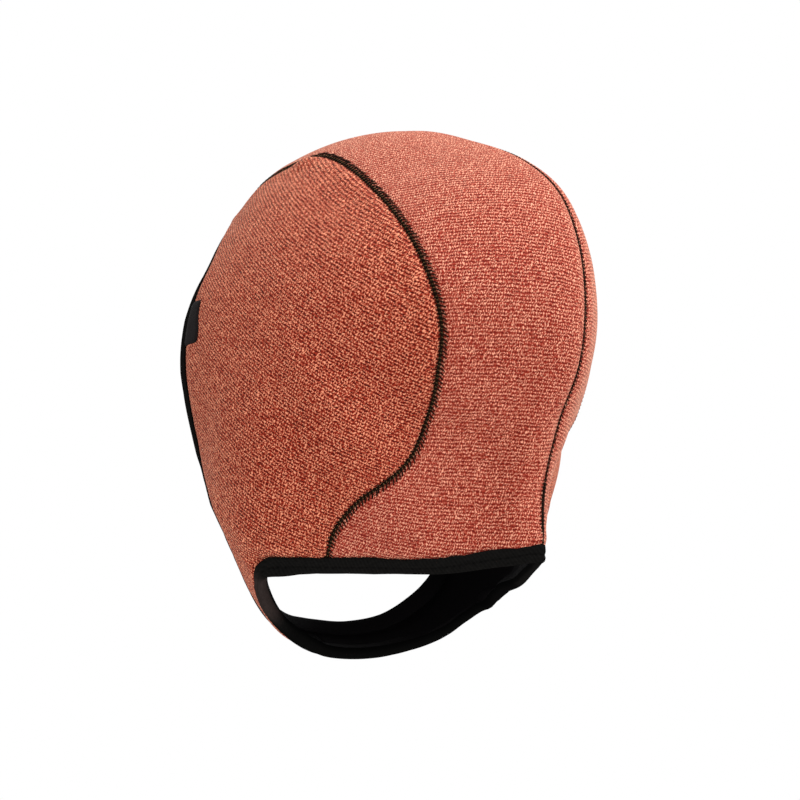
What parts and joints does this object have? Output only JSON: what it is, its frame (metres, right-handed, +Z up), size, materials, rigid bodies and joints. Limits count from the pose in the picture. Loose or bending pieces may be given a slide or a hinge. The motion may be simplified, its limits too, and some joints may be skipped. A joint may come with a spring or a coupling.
{
  "type": "surf cap",
  "caption": "Soft ribbed-knit surf cap with an open face, a chin strap cut in one with its side panels, and black binding along both openings.",
  "frame": {"origin": "inside top of the crown on the middle line, straight above the ears, where the wearer's head meets the cap", "axes": "+Z up, -Y the way the face looks, +X the wearer's left; the cap is mirrored across the YZ plane but for its patch"},
  "size_m": [0.173, 0.1599, 0.2137],
  "materials": {
    "knit_orange": "heathered rib knit over foam, matt",
    "knit_coral": "heathered rib knit over foam, matt",
    "binding_black": "smooth stretch tape, soft sheen",
    "patch_black": "plain, matt"
  },
  "bodies": {
    "root": {"crown_panel_left": "knit_coral", "crown_panel_right": "knit_coral", "side_panel_left": "knit_orange", "side_panel_right": "knit_orange", "face_binding": "binding_black", "neck_binding": "binding_black", "edge_patch": "patch_black"}
  },
  "joints": []
}
